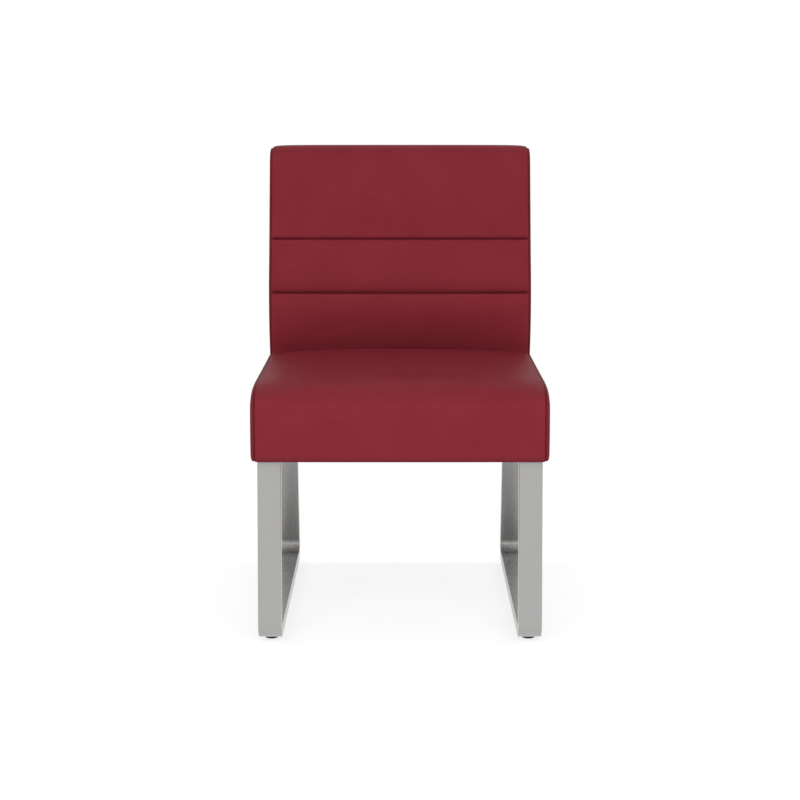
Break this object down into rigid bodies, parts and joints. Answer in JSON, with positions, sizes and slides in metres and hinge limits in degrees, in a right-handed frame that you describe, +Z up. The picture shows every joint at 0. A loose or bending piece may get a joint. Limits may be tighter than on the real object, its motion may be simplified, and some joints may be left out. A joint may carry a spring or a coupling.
{
  "type": "sled base visitor chair",
  "caption": "Armless visitor chair with a boxed padded seat and a raked padded back with sewn cross channels, standing on rectangular steel side loops with levelling glides.",
  "frame": {"origin": "on the floor, under the middle of the chair's overall width and depth", "axes": "+Z up, -Y towards the front of the chair, +X to the right of someone facing the chair from the front"},
  "size_m": [0.508, 0.6481, 0.8421],
  "materials": {
    "vinyl": "satin",
    "brushed_steel": "satin",
    "zinc_steel": "satin",
    "nylon": "matte",
    "birch": "matte",
    "fibreboard": "matte",
    "foam": "matte",
    "felt": "matte",
    "webbing": "matte",
    "dust_cloth": "matte"
  },
  "bodies": {
    "frame": {"leg_loop_left": "brushed_steel", "mounting_bar_left": "brushed_steel", "glide_sleeve_front_left": "zinc_steel", "glide_sleeve_rear_left": "zinc_steel", "base_bolt_left_1": "zinc_steel", "base_insert_left_1": "zinc_steel", "base_bolt_left_2": "zinc_steel", "base_insert_left_2": "zinc_steel", "base_bolt_left_3": "zinc_steel", "base_insert_left_3": "zinc_steel", "leg_loop_right": "brushed_steel", "mounting_bar_right": "brushed_steel", "glide_sleeve_front_right": "zinc_steel", "glide_sleeve_rear_right": "zinc_steel", "base_bolt_right_1": "zinc_steel", "base_insert_right_1": "zinc_steel", "base_bolt_right_2": "zinc_steel", "base_insert_right_2": "zinc_steel", "base_bolt_right_3": "zinc_steel", "base_insert_right_3": "zinc_steel", "seat_cover": "vinyl", "seat_foam": "foam", "felt_pad": "felt", "webbing_long_1": "webbing", "webbing_long_2": "webbing", "webbing_long_3": "webbing", "webbing_cross_1": "webbing", "webbing_cross_2": "webbing", "seat_rail_front": "birch", "seat_rear_rail": "birch", "seat_side_rail_left": "birch", "seat_side_rail_right": "birch", "corner_block_front_left": "birch", "corner_block_front_right": "birch", "corner_block_rear_left": "birch", "corner_block_rear_right": "birch", "dust_cover": "dust_cloth", "back_cover_front": "vinyl", "back_cover_rear": "vinyl", "back_foam": "foam", "back_support_panel": "birch", "back_rear_panel": "fibreboard", "back_stile_left": "birch", "back_stile_right": "birch", "back_lower_rail": "birch", "back_middle_rail": "birch", "back_top_rail": "birch", "back_bolt_1": "zinc_steel", "back_bolt_2": "zinc_steel", "back_bolt_3": "zinc_steel", "back_bolt_4": "zinc_steel"},
    "glide_front_left": {"glide_foot_front_left": "nylon", "glide_stud_front_left": "zinc_steel"},
    "glide_rear_left": {"glide_foot_rear_left": "nylon", "glide_stud_rear_left": "zinc_steel"},
    "glide_front_right": {"glide_foot_front_right": "nylon", "glide_stud_front_right": "zinc_steel"},
    "glide_rear_right": {"glide_foot_rear_right": "nylon", "glide_stud_rear_right": "zinc_steel"}
  },
  "joints": [
    {"name": "glide_front_left_level", "type": "slide", "parent": "frame", "child": "glide_front_left", "axis": [0, 0, -1], "range_m": [0, 0.008]},
    {"name": "glide_rear_left_level", "type": "slide", "parent": "frame", "child": "glide_rear_left", "axis": [0, 0, -1], "range_m": [0, 0.008]},
    {"name": "glide_front_right_level", "type": "slide", "parent": "frame", "child": "glide_front_right", "axis": [0, 0, -1], "range_m": [0, 0.008]},
    {"name": "glide_rear_right_level", "type": "slide", "parent": "frame", "child": "glide_rear_right", "axis": [0, 0, -1], "range_m": [0, 0.008]}
  ]
}
